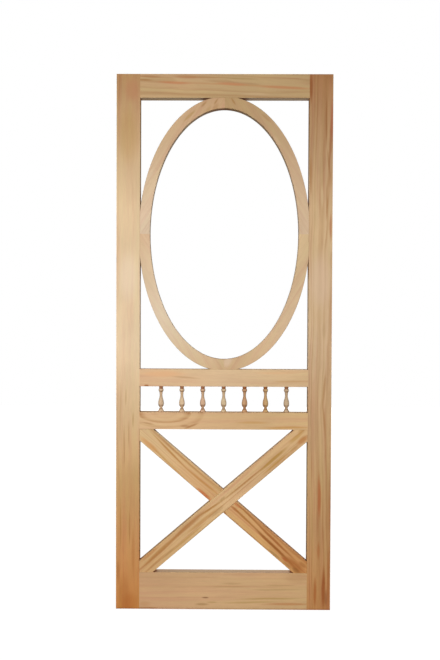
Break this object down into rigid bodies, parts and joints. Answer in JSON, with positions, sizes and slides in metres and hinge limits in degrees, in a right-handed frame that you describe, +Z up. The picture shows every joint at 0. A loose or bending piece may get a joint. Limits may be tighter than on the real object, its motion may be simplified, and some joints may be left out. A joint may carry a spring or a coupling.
{
  "type": "wooden screen door",
  "caption": "Natural pine screen door leaf with an oval ring above a row of turned spindles and crossed braces, hung by the edge of a stile.",
  "frame": {"origin": "on the outer edge of the left stile, half way up the door and half way through its thickness", "axes": "+X across the door to the right stile, -Y out of the outside face with the ring flush to it, +Z up"},
  "size_m": [0.8128, 0.035, 2.0192],
  "materials": {
    "frame_pine": "clear pine, planed and sanded, no coat",
    "ring_pine": "clear pine, planed and sanded, no coat",
    "brace_pine": "clear pine, planed and sanded, no coat",
    "spindle_pine": "clear pine, planed and sanded, no coat"
  },
  "bodies": {
    "root": {"left_stile": "frame_pine", "right_stile": "frame_pine", "top_rail": "frame_pine", "upper_mid_rail": "frame_pine", "lower_mid_rail": "frame_pine", "bottom_rail": "frame_pine", "ring_upper_left": "ring_pine", "ring_upper_right": "ring_pine", "ring_lower_left": "ring_pine", "ring_lower_right": "ring_pine", "rising_brace": "brace_pine", "falling_brace": "brace_pine", "spindle_1": "spindle_pine", "spindle_2": "spindle_pine", "spindle_3": "spindle_pine", "spindle_4": "spindle_pine", "spindle_5": "spindle_pine", "spindle_6": "spindle_pine", "spindle_7": "spindle_pine"}
  },
  "joints": []
}
